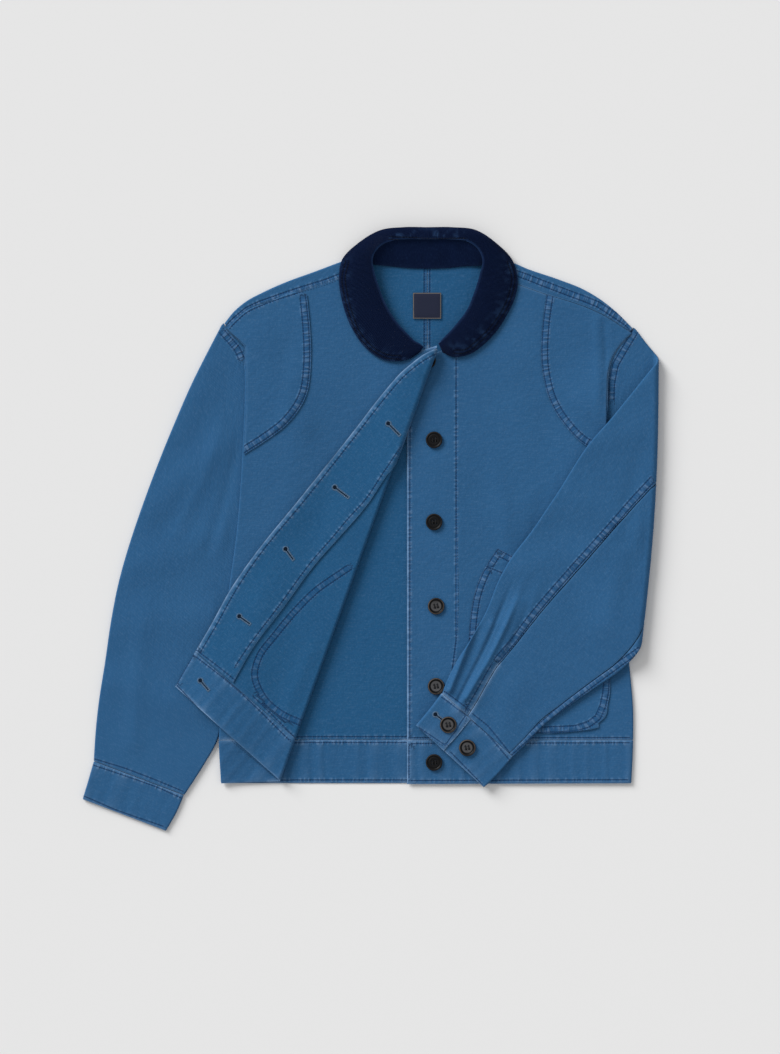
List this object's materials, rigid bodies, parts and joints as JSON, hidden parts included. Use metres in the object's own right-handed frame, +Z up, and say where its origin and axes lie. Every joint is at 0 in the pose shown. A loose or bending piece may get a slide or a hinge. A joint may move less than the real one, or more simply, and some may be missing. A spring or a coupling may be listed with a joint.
{
  "type": "hunting jacket",
  "caption": "Short blue canvas jacket with a dark corduroy collar, laid flat with one front folded open and one sleeve folded across.",
  "frame": {"origin": "middle of the outline, on the surface the jacket lies on", "axes": "+X towards the wearer's left sleeve, +Y from hem to collar, +Z up from the surface"},
  "size_m": [0.6904, 0.7228, 0.0176],
  "materials": {
    "blue_canvas": "garment-dyed cotton canvas, faded at seams and edges",
    "navy_corduroy": "fine-ribbed cotton corduroy",
    "navy_label": "woven label, bare inside a thin border",
    "button_black": "near black, softly polished"
  },
  "bodies": {
    "root": {"back_left": "blue_canvas", "back_right": "blue_canvas", "front_left": "blue_canvas", "front_right": "blue_canvas", "facing_right": "blue_canvas", "shoulder_patch_left": "blue_canvas", "shoulder_patch_right": "blue_canvas", "pocket_left": "blue_canvas", "pocket_right": "blue_canvas", "waistband_left": "blue_canvas", "waistband_right": "blue_canvas", "waistband_back": "blue_canvas", "sleeve_left_top": "blue_canvas", "sleeve_left_under": "blue_canvas", "sleeve_right_top": "blue_canvas", "sleeve_right_under": "blue_canvas", "cuff_left": "blue_canvas", "cuff_right": "blue_canvas", "collar_leaf": "navy_corduroy", "collar_stand": "navy_corduroy", "neck_label": "navy_label", "front_button_1": "button_black", "front_button_2": "button_black", "front_button_3": "button_black", "front_button_4": "button_black", "front_button_5": "button_black", "front_button_6": "button_black", "cuff_button_1": "button_black", "cuff_button_2": "button_black"}
  },
  "joints": []
}
